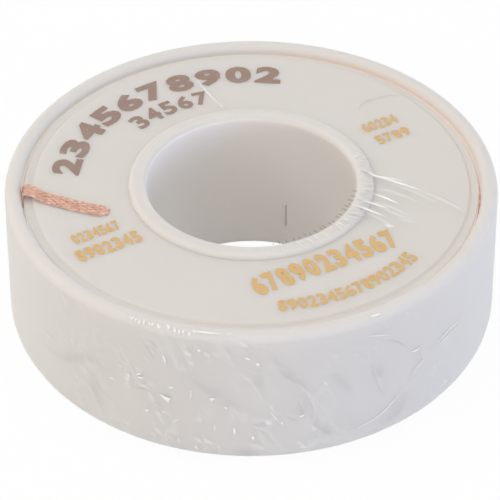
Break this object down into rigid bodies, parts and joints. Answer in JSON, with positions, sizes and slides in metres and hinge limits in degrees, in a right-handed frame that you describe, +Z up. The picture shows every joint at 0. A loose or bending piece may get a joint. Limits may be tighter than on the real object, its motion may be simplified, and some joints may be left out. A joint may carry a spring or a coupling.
{
  "type": "desoldering braid spool",
  "caption": "Round spool of flat copper desoldering braid: a reel turns in a cup-shaped casing, the braid's end lies on the reel's face, and a clear shrink film closes it.",
  "frame": {"origin": "under the middle of the spool, on the flat underside that it stands on", "axes": "+Z up along the axis of the bore, towards the printed face; the braid comes out on the -X side"},
  "size_m": [0.0597, 0.0596, 0.0202],
  "materials": {
    "casing": "smooth off-white polystyrene, lightly glossy",
    "reel": "smooth off-white polystyrene with a satin printed face",
    "braid": "bare copper strands in a flat fluxed braid, satin",
    "film": "clear glossy shrink film with creases"
  },
  "bodies": {
    "casing": {"casing": "casing", "shrink_film": "film"},
    "reel": {"reel": "reel", "braid_winding": "braid", "braid_loose_turn": "braid", "braid_tail": "braid", "braid_inner_end": "braid"}
  },
  "joints": [
    {"name": "reel_spin", "type": "hinge", "parent": "casing", "child": "reel", "pos_m": [0, 0, 0.0101], "axis": [0, 0, 1], "continuous": true}
  ]
}
